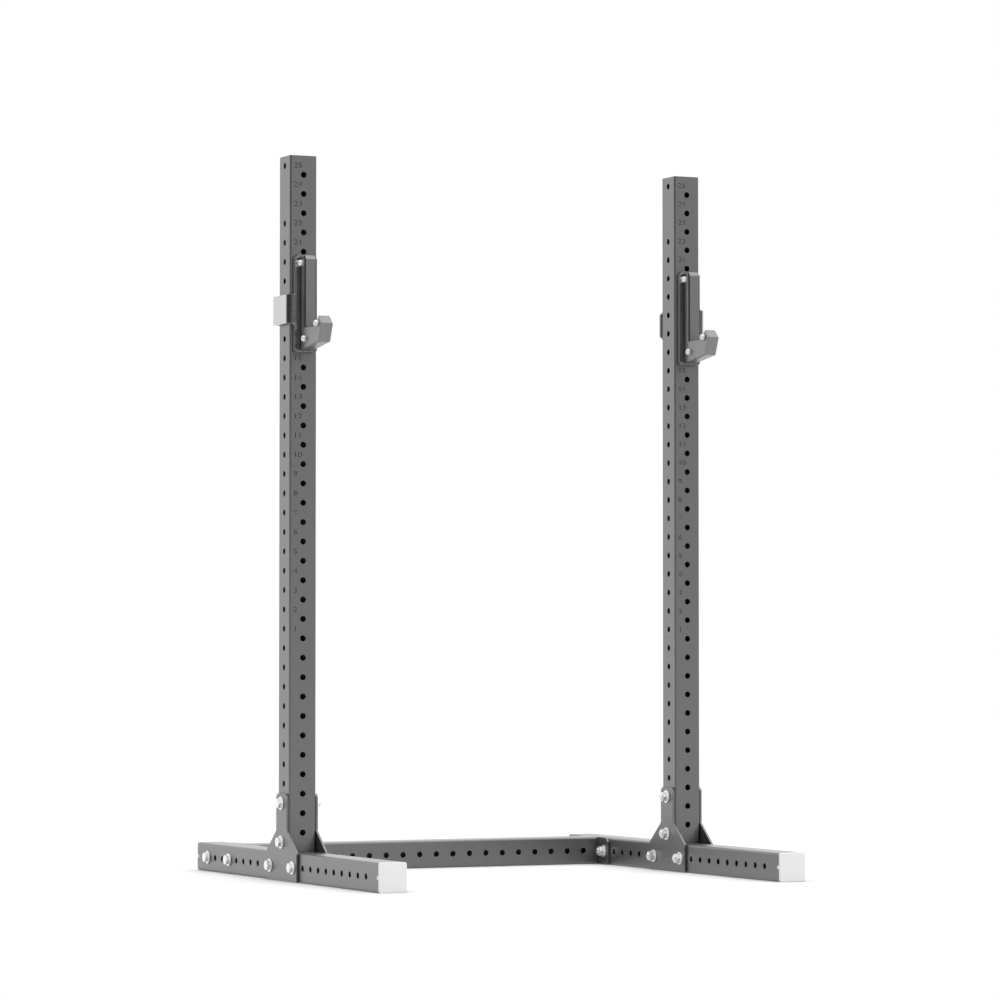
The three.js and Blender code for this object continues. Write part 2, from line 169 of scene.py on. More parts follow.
def new_finish(name):
    finish = bpy.data.materials.new(name)
    finish.use_nodes = True
    finish.node_tree.nodes.clear()
    return finish, finish.node_tree


bpy.ops.mesh.primitive_plane_add(size=floor_width)
floor = bpy.context.active_object
floor.name = "floor"
floor_finish, tree = new_finish("studio floor")
floor_place = add_node(tree, "ShaderNodeTexCoord", {}, {}, "Object")
length_of = {"operation": "LENGTH"}
floor_distance = add_node(tree, "ShaderNodeVectorMath", length_of, {0: floor_place}, "Value")
sheet = add_node(tree, "ShaderNodeBsdfDiffuse", {}, {"Color": floor_colour})
white = add_node(tree, "ShaderNodeEmission", {}, {"Color": (1, 1, 1, 1), "Strength": 1})
camera_ray = add_node(tree, "ShaderNodeLightPath", {}, {}, "Is Camera Ray")
fade = ease(floor_distance, fade_start, fade_end) * camera_ray
surface = add_node(tree, "ShaderNodeMixShader", {}, {0: fade, 1: sheet, 2: white})
mirrored_ray = add_node(tree, "ShaderNodeLightPath", {}, {}, "Is Glossy Ray")
shine = floor_shine * mirrored_ray
gleam = add_node(tree, "ShaderNodeEmission", {}, {"Color": (1, 1, 1, 1), "Strength": shine})
surface = add_node(tree, "ShaderNodeAddShader", {}, {0: surface, 1: gleam})
add_node(tree, "ShaderNodeOutputMaterial", {}, {"Surface": surface})
floor.data.materials.append(floor_finish)


# Powder coat covers every tube and plate. It is near black and satin, sprayed dry and baked, and so it
# has a fine orange-peel surface. A colour that varies is mixed at sockets 6 and 7 of a Mix node and
# comes out at socket 2.
def noise(place, scale, detail=2):
    return add_node(
        place.tree, "ShaderNodeTexNoise", {}, {"Vector": place, "Scale": scale, "Detail": detail}
    )


def tint(factor, first, second):
    settings = {"data_type": "RGBA"}
    return add_node(factor.tree, "ShaderNodeMix", settings, {0: factor, 6: first, 7: second}, 2)


def raised(height, distance):
    values = {"Height": height, "Distance": distance, "Strength": 1}
    return add_node(height.tree, "ShaderNodeBump", {}, values)


def set_surface(tree, **values):
    named = {name.replace("_", " "): value for name, value in values.items()}
    shader = add_node(tree, "ShaderNodeBsdfPrincipled", {}, named)
    add_node(tree, "ShaderNodeOutputMaterial", {}, {"Surface": shader})


def grained(name, dark, light, grain_scale, height, roughness, spread, cloud_scale=None, **constants):
    """A finish with a fine grain, clouded between two colours at its own scale or the grain's."""
    finish, tree = new_finish(name)
    place = add_node(tree, "ShaderNodeTexCoord", {}, {}, "Object")
    grain = noise(place, grain_scale)
    cloud = noise(place, cloud_scale) if cloud_scale else grain
    set_surface(
        tree,
        Base_Color=tint(cloud, dark, light),
        Roughness=roughness + spread * (grain - 0.5),
        Normal=raised(grain, height),
        **constants,
    )
    return finish


powder_coat = grained(
    "powder coat", (0.016, 0.016, 0.0164, 1), (0.022, 0.022, 0.0224, 1), grain_scale=700,
    height=0.00004, roughness=0.35, spread=0.06, cloud_scale=9, IOR=2.2,
)


# The uprights, feet and crossmember are cut from one stock of square steel tube with rounded corners,
# drilled right through both walls every two inches. Two side rows near an upright's top are left out.
tube_wall = 0.003
tube_corner = 0.006
corner_steps = 6
hole_pitch = 0.0508
hole_width = 0.0159
hole_sides = 32
drill_overrun = 0.01
cut_edge = 0.0006
edge_steps = 2
edge_angle = math.radians(35)
smooth_angle = math.radians(40)
flat_face_weight = 80
aligned = 0.99
bare_rows_from_top = (1, 2)


def only(*pieces):
    bpy.ops.object.select_all(action="DESELECT")
    for piece in pieces:
        piece.select_set(True)
    bpy.context.view_layer.objects.active = pieces[0]


def named(name):
    piece = bpy.context.active_object
    piece.name = name
    piece.data.name = name
    bpy.ops.object.transform_apply(location=True, rotation=True, scale=True)
    return piece


def add_block(name, low, high):
    low, high = Vector(low), Vector(high)
    bpy.ops.object.select_all(action="DESELECT")
    bpy.ops.mesh.primitive_cube_add(size=1, location=(low + high) / 2)
    bpy.context.active_object.scale = high - low
    return named(name)


def pick(kind, test):
    mesh = bmesh.from_edit_mesh(bpy.context.active_object.data)
    bpy.ops.mesh.select_mode(type=kind)
    bpy.ops.mesh.select_all(action="DESELECT")
    for part in {"VERT": mesh.verts, "EDGE": mesh.edges, "FACE": mesh.faces}[kind]:
        if test(part):
            part.select_set(True)
    mesh.select_flush_mode()
    bmesh.update_edit_mesh(bpy.context.active_object.data)


def run_along(axis):
    return lambda edge: abs((edge.verts[1].co - edge.verts[0].co).normalized()[axis]) > aligned


def modify(piece, kind, **settings):
    only(piece)
    modifier = piece.modifiers.new(kind, kind)
    for name, value in settings.items():
        setattr(modifier, name, value)
    bpy.ops.object.modifier_apply(modifier=modifier.name)


def add_tube(name, low, high, axis):
    tube = add_block(name, low, high)
    bpy.ops.object.mode_set(mode="EDIT")
    pick("EDGE", run_along(axis))
    bpy.ops.mesh.bevel(offset=tube_corner, segments=corner_steps, affect="EDGES")
    pick("FACE", lambda face: abs(face.normal[axis]) > aligned)
    bpy.ops.mesh.delete(type="FACE")
    bpy.ops.object.mode_set(mode="OBJECT")
    modify(tube, "SOLIDIFY", thickness=tube_wall, offset=-1, use_even_offset=True)
    return tube


def subtract(piece, cutters):
    only(*cutters)
    if len(cutters) > 1:
        bpy.ops.object.join()
    cutter = bpy.context.active_object
    modify(piece, "BOOLEAN", operation="DIFFERENCE", solver="EXACT", object=cutter)
    bpy.data.objects.remove(cutter)


def drill(tube, low, high, places, axis):
    turn = (0, math.pi / 2, 0) if axis == 0 else (math.pi / 2, 0, 0)
    depth = high[axis] - low[axis] + 2 * drill_overrun
    bits = []
    for spot in places:
        bpy.ops.mesh.primitive_cylinder_add(
            vertices=hole_sides, radius=hole_width / 2, depth=depth, location=spot, rotation=turn
        )
        bits.append(bpy.context.active_object)
    subtract(tube, bits)


def shade(piece):
    only(piece)
    bpy.ops.object.shade_smooth_by_angle(angle=smooth_angle)
    modify(piece, "WEIGHTED_NORMAL", keep_sharp=True, weight=flat_face_weight)


def soften(piece, width):
    modify(
        piece, "BEVEL", width=width, segments=edge_steps, limit_method="ANGLE",
        angle_limit=edge_angle, use_clamp_overlap=False,
    )
    shade(piece)


def mount(piece, body, slot, finish, *nodes):
    piece.data.materials.clear()
    piece.data.materials.append(finish)
    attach(piece, body)
    if nodes:
        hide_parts(*nodes)


# Each upright is numbered from 1 to 25 on its front face. The numerals are cut into the wall
# halfway between holes, left of the middle, and are wider than usual.
first_number_row = 11.5
number_count = 25
digit_height = 0.014
digit_share_of_size = 0.73
digit_stretch = 1.32
number_offset = -0.0285
engraving_depth = 0.0026
weld_gap = 0.00001


def number_cutter(number, corner):
    bpy.ops.object.text_add(location=corner, rotation=(math.pi / 2, 0, 0))
    text = bpy.context.active_object
    text.data.body = str(number)
    text.data.size = digit_height / digit_share_of_size
    text.data.extrude = engraving_depth
    text.scale.x = digit_stretch
    bpy.ops.object.convert(target="MESH")
    bpy.ops.object.transform_apply(location=True, rotation=True, scale=True)
    bpy.ops.object.mode_set(mode="EDIT")
    bpy.ops.mesh.select_all(action="SELECT")
    bpy.ops.mesh.remove_doubles(threshold=weld_gap)
    bpy.ops.mesh.normals_make_consistent(inside=False)
    bpy.ops.object.mode_set(mode="OBJECT")
    return bpy.context.active_object


for side in ("left", "right"):
    low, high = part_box(f"upright_{side}")
    middle = (low + high) / 2
    row_count = round((high.z - low.z) / hole_pitch)
    tube = add_tube(f"upright_{side}_tube", low, high, 2)
    front_places = [(middle.x, middle.y, low.z + row * hole_pitch) for row in range(1, row_count)]
    side_places = [
        (middle.x, middle.y, low.z + (row + 0.5) * hole_pitch)
        for row in range(row_count)
        if row_count - 1 - row not in bare_rows_from_top
    ]
    drill(tube, low, high, front_places, 1)
    drill(tube, low, high, side_places, 0)
    soften(tube, cut_edge)
    numbers = []
    for number in range(1, number_count + 1):
        height = low.z + (number + first_number_row - 1) * hole_pitch - digit_height / 2
        numbers.append(number_cutter(number, (middle.x + number_offset, low.y, height)))
    subtract(tube, numbers)
    shade(tube)
    mount(tube, "frame", "paint", powder_coat, f"upright_{side}")


# The feet are two lengths of the same tube that lie on the floor, drilled across from the middle out.
# A foot has a small notch in both sides at each end, for the tabs of its caps.
tab_height = 0.009
tab_length = 0.009
tab_gap = 0.0003

for side in ("left", "right"):
    low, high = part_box(f"foot_{side}")
    middle = (low + high) / 2
    tube = add_tube(f"foot_{side}_tube", low, high, 1)
    count = int((high.y - low.y) / hole_pitch / 2) - 1
    places = [
        (middle.x, middle.y + way * (row + 0.5) * hole_pitch, middle.z)
        for row in range(count)
        for way in (-1, 1)
    ]
    drill(tube, low, high, places, 0)
    notches = []
    for end, way in ((low.y, 1), (high.y, -1)):
        span = sorted((end + way * tab_length, end - way * drill_overrun))
        lower = (low.x - drill_overrun, span[0], middle.z - tab_height / 2)
        upper = (high.x + drill_overrun, span[1], middle.z + tab_height / 2)
        notches.append(add_block("notch", lower, upper))
    subtract(tube, notches)
    soften(tube, cut_edge)
    mount(tube, "frame", "paint", powder_coat, f"foot_{side}")


# The crossmember is the same tube again. It lies level between the feet, behind the uprights, and its
# holes run from front to back.
low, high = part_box("crossmember")
middle = (low + high) / 2
tube = add_tube("crossmember_tube", low, high, 0)
count = int((high.x - low.x) / hole_pitch / 2)
places = [
    (middle.x + way * (row + 0.5) * hole_pitch, middle.y, middle.z)
    for row in range(count)
    for way in (-1, 1)
]
drill(tube, low, high, places, 1)
soften(tube, cut_edge)
mount(tube, "frame", "paint", powder_coat, "crossmember")


# Gussets are quarter-inch steel plates, one on each side of an upright, with a wide base that covers
# the foot and a stem that runs up the tube. Flanges are plates on the ends of the crossmember. Both
# are bolted through the tubes.
foot_height = 0.0762
shoulder_rise = 0.056
stem_width = 0.071
stem_cut = 0.008
flange_cut = 0.012
plate_edge = 0.0009
bolt_width = 0.0152
bolt_play = 0.0006
bore_reach = 8 * foot_height
seed_size = 0.001


def add_plate(name, corners, thickness):
    corners = [Vector(corner) for corner in corners]
    bpy.ops.object.select_all(action="DESELECT")
    bpy.ops.mesh.primitive_plane_add(size=seed_size, location=corners[0])
    bpy.ops.object.mode_set(mode="EDIT")
    bpy.ops.mesh.select_mode(type="VERT")
    bpy.ops.mesh.select_all(action="SELECT")
    bpy.ops.mesh.merge(type="CENTER")
    for start, end in zip(corners, corners[1:]):
        bpy.ops.mesh.extrude_vertices_move(TRANSFORM_OT_translate={"value": end - start})
    bpy.ops.mesh.select_all(action="SELECT")
    bpy.ops.mesh.edge_face_add()
    bpy.ops.mesh.extrude_region_move(TRANSFORM_OT_translate={"value": Vector(thickness)})
    bpy.ops.mesh.select_all(action="SELECT")
    bpy.ops.mesh.normals_make_consistent(inside=False)
    bpy.ops.object.mode_set(mode="OBJECT")
    return named(name)


def both_sides(right_half):
    return right_half + [(-across, up) for across, up in reversed(right_half)]


def bolt_centres(side, kind):
    names = [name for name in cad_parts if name.startswith(f"bolt_{kind}_") and side in name]
    return [sum(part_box(name), Vector()) / 2 for name in names]


def bore(piece, centres, width=bolt_width):
    bits = []
    for centre in centres:
        bpy.ops.mesh.primitive_cylinder_add(
            vertices=hole_sides,
            radius=width / 2 + bolt_play,
            depth=bore_reach,
            location=centre,
            rotation=(0, math.pi / 2, 0),
        )
        bits.append(bpy.context.active_object)
    subtract(piece, bits)


for side in ("left", "right"):
    for where in ("outer", "inner"):
        node = f"gusset_{where}_{side}"
        low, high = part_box(node)
        base = (high.y - low.y) / 2
        stem = stem_width / 2
        right_half = [
            (base, low.z),
            (base, foot_height),
            (stem, foot_height + shoulder_rise),
            (stem, high.z - stem_cut),
            (stem - stem_cut, high.z),
        ]
        corners = [(low.x, y, z) for y, z in both_sides(right_half)]
        gusset = add_plate(f"{node}_plate", corners, (high.x - low.x, 0, 0))
        bore(gusset, bolt_centres(side, "gusset"))
        soften(gusset, plate_edge)
        mount(gusset, "frame", "paint", powder_coat, node)
    node = f"flange_{side}"
    low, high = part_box(node)
    middle = (low + high) / 2
    half = (high.y - low.y) / 2
    right_half = [(half, low.z), (half, high.z - flange_cut), (half - flange_cut, high.z)]
    corners = [(low.x, middle.y + y, z) for y, z in both_sides(right_half)]
    flange = add_plate(f"{node}_plate", corners, (high.x - low.x, 0, 0))
    bore(flange, bolt_centres(side, "flange"))
    soften(flange, plate_edge)
    mount(flange, "frame", "paint", powder_coat, node)


# The frame's bolts are zinc-plated steel: a chamfered hexagon head and a washer on the outer side, and
# a nut and a washer on the inner side, where a few turns of thread stand out.
hex_width = 0.0238
washer_width = 0.0345
washer_thickness = 0.003
head_height = 0.0099
nut_height = 0.0139
thread_pitch = 0.002
thread_depth = 0.0011
thread_turns = 6
thread_sides = 24
shank_overlap = 0.001
washer_edge = 0.0005
turned_sides = 48
chamfer_width_share = 0.93
chamfer_slope = math.tan(math.radians(30))

zinc_dark = (0.66, 0.67, 0.68, 1)
zinc_light = (0.78, 0.78, 0.78, 1)
zinc_stain_scale = 60
zinc_grain_scale = 2500
zinc_grain_height = 0.00002
zinc_roughness = 0.34
stain_roughness = 0.16
grain_roughness = 0.06

zinc_plate, tree = new_finish("zinc plate")
place = add_node(tree, "ShaderNodeTexCoord", {}, {}, "Object")
stain = noise(place, zinc_stain_scale)
grain = noise(place, zinc_grain_scale)
set_surface(
    tree,
    Base_Color=tint(stain, zinc_dark, zinc_light),
    Metallic=1,
    Roughness=zinc_roughness + stain_roughness * stain + grain_roughness * grain,
    Normal=raised(grain, zinc_grain_height),
)


def add_turned(name, radius, start, end, sides=turned_sides):
    bpy.ops.object.select_all(action="DESELECT")
    bpy.ops.mesh.primitive_cylinder_add(
        vertices=sides,
        radius=radius,
        depth=end - start,
        location=((start + end) / 2, 0, 0),
        rotation=(0, math.pi / 2, 0),
    )
    return named(name)


def add_hexagon(name, start, height):
    hexagon = add_turned(name, hex_width / 2 / math.cos(math.pi / 6), start, start + height, 6)
    top = hex_width / 2 * chamfer_width_share
    bpy.ops.mesh.primitive_cone_add(
        vertices=turned_sides,
        radius1=top + height / chamfer_slope,
        radius2=top,
        depth=height,
        location=(start + height / 2, 0, 0),
        rotation=(0, math.pi / 2, 0),
    )
    cone = named("cone")
    modify(hexagon, "BOOLEAN", operation="INTERSECT", solver="EXACT", object=cone)
    bpy.data.objects.remove(cone)
    return hexagon


def add_washer(name):
    washer = add_turned(name, washer_width / 2, 0, washer_thickness)
    modify(washer, "BEVEL", width=washer_edge, segments=2, limit_method="ANGLE")
    return washer


def add_thread(name, end):
    root = bolt_width / 2 - thread_depth
    start = end - thread_turns * thread_pitch
    line = [(start, root), (start + thread_pitch / 2, bolt_width / 2), (start + thread_pitch, root)]
    bpy.ops.object.select_all(action="DESELECT")
    bpy.ops.mesh.primitive_plane_add(size=seed_size, location=(line[0][0], 0, line[0][1]))
    bpy.ops.object.mode_set(mode="EDIT")
    bpy.ops.mesh.select_mode(type="VERT")
    bpy.ops.mesh.select_all(action="SELECT")
    bpy.ops.mesh.merge(type="CENTER")
    for (x1, r1), (x2, r2) in zip(line, line[1:]):
        bpy.ops.mesh.extrude_vertices_move(TRANSFORM_OT_translate={"value": (x2 - x1, 0, r2 - r1)})
    bpy.ops.object.mode_set(mode="OBJECT")
    thread = named(name)
    modify(
        thread, "SCREW", axis="X", screw_offset=thread_pitch, iterations=thread_turns - 1,
        steps=thread_sides, render_steps=thread_sides, use_normal_calculate=True,
    )
    modify(thread, "WELD", merge_threshold=weld_gap)
    modify(thread, "SOLIDIFY", thickness=thread_depth / 2, offset=-1)
    return thread


def joined(name, *pieces):
    only(*pieces)
    bpy.ops.object.join()
    whole = bpy.context.active_object
    whole.name = name
    whole.data.name = name
    return whole


def add_bolt(name, length):
    """A bolt that points its head along X, with the washer's seat at X = 0."""
    inner_end = washer_thickness + head_height - length
    thread_end = inner_end + thread_turns * thread_pitch
    core = add_turned("core", bolt_width / 2 - thread_depth, inner_end, washer_thickness)
    modify(core, "BEVEL", width=thread_depth, segments=2, limit_method="ANGLE")
    shank = add_turned("shank", bolt_width / 2, thread_end, shank_overlap)
    head = add_hexagon("head", washer_thickness, head_height)
    thread = add_thread("thread", thread_end)
    bolt = joined(name, core, shank, head, add_washer("washer"), thread)
    shade(bolt)
    return bolt


def copy_to(piece, name, matrix):
    only(piece)
    bpy.ops.object.duplicate()
    twin = bpy.context.active_object
    twin.name = name
    twin.data.name = name
    twin.data.transform(matrix)
    return twin


length_digits = 4
nut_parts = [add_hexagon("nut_body", washer_thickness, nut_height), add_washer("nut_washer")]
for part in nut_parts:
    bore(part, [(0, 0, 0)])
nut = joined("nut", *nut_parts)
shade(nut)
bolts = {}
for node in sorted(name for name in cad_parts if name.startswith(("bolt_", "nut_"))):
    low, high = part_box(node)
    middle = (low + high) / 2
    length = round(high.x - low.x, length_digits)
    outward = 1 if middle.x > 0 else -1
    if node.startswith("nut_"):
        master, facing, reach = nut, -outward, washer_thickness + nut_height
    else:
        if length not in bolts:
            bolts[length] = add_bolt(f"bolt_{len(bolts)}", length)
        master, facing, reach = bolts[length], outward, washer_thickness + head_height
    end = high.x if facing > 0 else low.x
    seat = Matrix.Translation((end - facing * reach, middle.y, middle.z))
    turn = Matrix.Rotation(0 if facing > 0 else math.pi, 4, "Z")
    piece = copy_to(master, f"{node}_hardware", seat @ turn)
    mount(piece, "frame", "zinc", zinc_plate, node)
for master in (nut, *bolts.values()):
    bpy.data.objects.remove(master)


# Each foot is closed by white moulded caps: a flange as wide as the tube with a rounded rim, a plug
# inside the tube, and a small tab on both sides that snaps into the notch.
cap_thickness = 0.005
cap_rim = 0.0016
cap_rim_steps = 3
plug_margin = 0.0033

cap_white = grained(
    "white plastic", (0.67, 0.67, 0.665, 1), (0.7, 0.7, 0.695, 1), grain_scale=1800,
    height=0.00002, roughness=0.42, spread=0.1, cloud_scale=35,
)


def add_rounded(name, low, high, axis, radius):
    block = add_block(name, low, high)
    bpy.ops.object.mode_set(mode="EDIT")
    pick("EDGE", run_along(axis))
    bpy.ops.mesh.bevel(offset=radius, segments=corner_steps, affect="EDGES")
    bpy.ops.object.mode_set(mode="OBJECT")
    return block


for side in ("left", "right"):
    for where, way in (("front", -1), ("rear", 1)):
        node = f"foot_cap_{where}_{side}"
        low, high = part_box(node)
        middle = (low + high) / 2
        face = low.y if way < 0 else high.y
        seat = face - way * cap_thickness
        inner = high.y if way < 0 else low.y
        span = sorted((face, seat))
        lower, upper = (low.x, span[0], low.z), (high.x, span[1], high.z)
        flange = add_rounded("flange", lower, upper, 1, tube_corner)
        bpy.ops.object.mode_set(mode="EDIT")
        pick("FACE", lambda part: part.normal.y * way > aligned)
        bpy.ops.mesh.bevel(offset=cap_rim, segments=cap_rim_steps, affect="EDGES")
        bpy.ops.object.mode_set(mode="OBJECT")
        span = sorted((seat, inner))
        lower = (low.x + plug_margin, span[0], low.z + plug_margin)
        upper = (high.x - plug_margin, span[1], high.z - plug_margin)
        parts = [flange, add_rounded("plug", lower, upper, 1, tube_wall)]
        tab_span = sorted((seat, seat - way * tab_length))
        for edge, depth in ((low.x, tube_wall), (high.x, -tube_wall)):
            across = sorted((edge, edge + depth))
            half = tab_height / 2 - tab_gap
            lower = (across[0], tab_span[0], middle.z - half)
            upper = (across[1], tab_span[1], middle.z + half)
            parts.append(add_block("tab", lower, upper))
        cap = joined(f"{node}_moulding", *parts)
        shade(cap)
        mount(cap, "frame", "cap_plastic", cap_white, node)


# The tops of the uprights are closed by moulded black plugs that are pushed into the tube. A plug's
# top is a shallow dish, and its rim is narrower than the rounding of its corners.
dish_margin = 0.0018
dish_depth = 0.0012
plug_edge = 0.0005

plug_black = grained(
    "black plastic", (0.02, 0.02, 0.021, 1), (0.028, 0.028, 0.029, 1), grain_scale=1500,
    height=0.00005, roughness=0.5, spread=0.12,
)

for side in ("left", "right"):
    node = f"upright_plug_{side}"
    low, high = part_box(node)
    plug = add_rounded(f"{node}_moulding", low, high, 2, tube_wall)
    bpy.ops.object.mode_set(mode="EDIT")
    pick("FACE", lambda part: part.normal.z > aligned)
    bpy.ops.mesh.inset(thickness=dish_margin)
    bpy.ops.mesh.extrude_region_move(TRANSFORM_OT_translate={"value": (0, 0, -dish_depth)})
    bpy.ops.object.mode_set(mode="OBJECT")
    soften(plug, plug_edge)
    mount(plug, "frame", "plug_plastic", plug_black, node)


# A bar cup hangs on each upright. Its bracket is bent from one steel sheet: a tall plate in front of
# the tube, and at its middle a band that goes round the outer side and the back. A moulded liner keeps
# the steel off the paint.
plate_drop = 0.112
plate_top_cut = (0.0105, 0.0085)
plate_low_cut = 0.0035
liner_thickness = 0.0105
liner_edge = 0.0008
seam = 0.0003
sheet_thickness = 0.005
sheet_edge = 0.0006
band_half = 0.0381
band_bend = 0.0195
band_back_bend = 0.006
band_cut = 0.008
band_flares = (0.006, 0.003)
bend_steps = 16
back_bend_steps = 5
liner_bend_steps = 8
liner_bend_start = 0.05
sheet_face_share = 0.9
pin_width = 0.0152
pin_sink = 0.022
pin_tip = 0.002
pin_tip_steps = 3

liner_plastic = grained(
    "liner plastic", (0.03, 0.03, 0.031, 1), (0.04, 0.04, 0.041, 1), grain_scale=1200,
    height=0.00005, roughness=0.48, spread=0.12, cloud_scale=20,
)

steel_dark = (0.38, 0.38, 0.38, 1)
steel_light = (0.43, 0.43, 0.425, 1)
steel_cloud_scale = 25
brush_stretch = (30, 30, 2200)
brush_detail = 3
brush_height = 0.000004
steel_roughness = 0.15
brush_roughness = 0.12

polished_steel, tree = new_finish("polished steel")
place = add_node(tree, "ShaderNodeTexCoord", {}, {}, "Object")
stretched = {"Vector": place, "Scale": brush_stretch}
brushed = add_node(tree, "ShaderNodeMapping", {"vector_type": "POINT"}, stretched)
lines = noise(brushed, 1, brush_detail)
set_surface(
    tree,
    Base_Color=tint(noise(place, steel_cloud_scale), steel_dark, steel_light),
    Metallic=1,
    Roughness=steel_roughness + brush_roughness * (lines - 0.5),
    Normal=raised(lines, brush_height),
)

sheared_steel = grained(
    "sheared steel edge", (0.1, 0.1, 0.1, 1), (0.14, 0.14, 0.14, 1), grain_scale=900,
    height=0.00003, roughness=0.5, spread=0.1, Metallic=1,
)


def arc(centre, radius, start, end, steps):
    angles = [start + (end - start) * step / steps for step in range(steps + 1)]
    return [(centre[0] + radius * math.cos(a), centre[1] + radius * math.sin(a)) for a in angles]


def band_line(depth, side, front, back, leg_end):
    """The band in plan, as distances outward and rearward, at a depth below its outer face."""
    bend_centre = (side - band_bend, front + band_bend)
    back_centre = (side - band_back_bend, back - band_back_bend)
    return [
        (0, front + depth),
        *arc(bend_centre, band_bend - depth, -math.pi / 2, 0, bend_steps),
        *arc(back_centre, band_back_bend - depth, 0, math.pi / 2, back_bend_steps),
        (leg_end, back - depth),
    ]


def cut_leg_corners(piece, leg_end, x_of):
    """Chamfers the two outer corners of the leg behind the upright."""
    edge = x_of(leg_end)
    only(piece)
    bpy.ops.object.mode_set(mode="EDIT")
    across = run_along(1)
    pick("EDGE", lambda part: across(part) and abs(part.verts[0].co.x - edge) < seam / 2)
    bpy.ops.mesh.bevel(offset=band_cut, segments=1, affect="EDGES")
    bpy.ops.object.mode_set(mode="OBJECT")


# The body of a cup is a hook moulded in black plastic over the steel tongue. Its side outline is a
# stem, a shelf, a ramp up to a blunt lip, and a face that slopes back to the heel. Its long edges are
# chamfered, and the two at the stem's front get a matt, near black finish: painted shade, for the dark
# line that shade and dark reflections make along the stem's front corners.
stem_depth = 0.029
stem_bevel_depth = 0.008
stem_bevel_height = 0.0105
shelf_drop = 0.0478
shelf_depth = 0.066
ramp_depth = 0.021
ramp_rise = 0.0224
lip_depth = 0.003
lip_bevel_height = 0.0206
face_setback = 0.019
face_height = 0.048
body_chamfer = 0.0035
body_edge = 0.0005
shaded_chamfer_sideways = (0.5, 0.9)
shaded_chamfer_forward = 0.4

cup_plastic = grained(
    "moulded cup plastic", (0.028, 0.028, 0.0283, 1), (0.036, 0.036, 0.0363, 1), grain_scale=1600,
    height=0.00003, roughness=0.35, spread=0.1, cloud_scale=14, IOR=2.25,
)
stem_chamfer_shade = grained(
    "stem chamfer painted shade", (0.01, 0.01, 0.0101, 1), (0.014, 0.014, 0.0141, 1), grain_scale=1400,
    height=0.00003, roughness=0.6, spread=0.1, IOR=1.33,
)


# Three bolts go across each hook and its tongue. Their low domed heads are zinc-plated steel, a little
# more satin than the bolts of the frame.
dome_width = 0.017
dome_height = 0.0065
dome_stand_off = 0.0035
dome_round = 0.006
dome_steps = 6
cup_shank = 0.01

satin_zinc = grained(
    "satin zinc", (0.58, 0.58, 0.585, 1), (0.66, 0.66, 0.66, 1), grain_scale=1800,
    height=0.00002, roughness=0.55, spread=0.1, Metallic=1,
)


def add_domed_bolt(name, low, high):
    """A bolt along X with a domed head at its lower end, a little prouder than its CAD solid."""
    middle = (low + high) / 2
    head = add_turned("dome", dome_width / 2, low.x - dome_stand_off, low.x + dome_height)
    bpy.ops.object.mode_set(mode="EDIT")
    pick("FACE", lambda part: part.normal.x < -aligned)
    bpy.ops.mesh.bevel(offset=dome_round, segments=dome_steps, affect="EDGES")
    bpy.ops.object.mode_set(mode="OBJECT")
    shank = add_turned("dome_shank", cup_shank / 2, low.x + dome_height / 2, high.x)
    bolt = joined(name, head, shank)
    bolt.data.transform(Matrix.Translation((0, middle.y, middle.z)))
    shade(bolt)
    return bolt


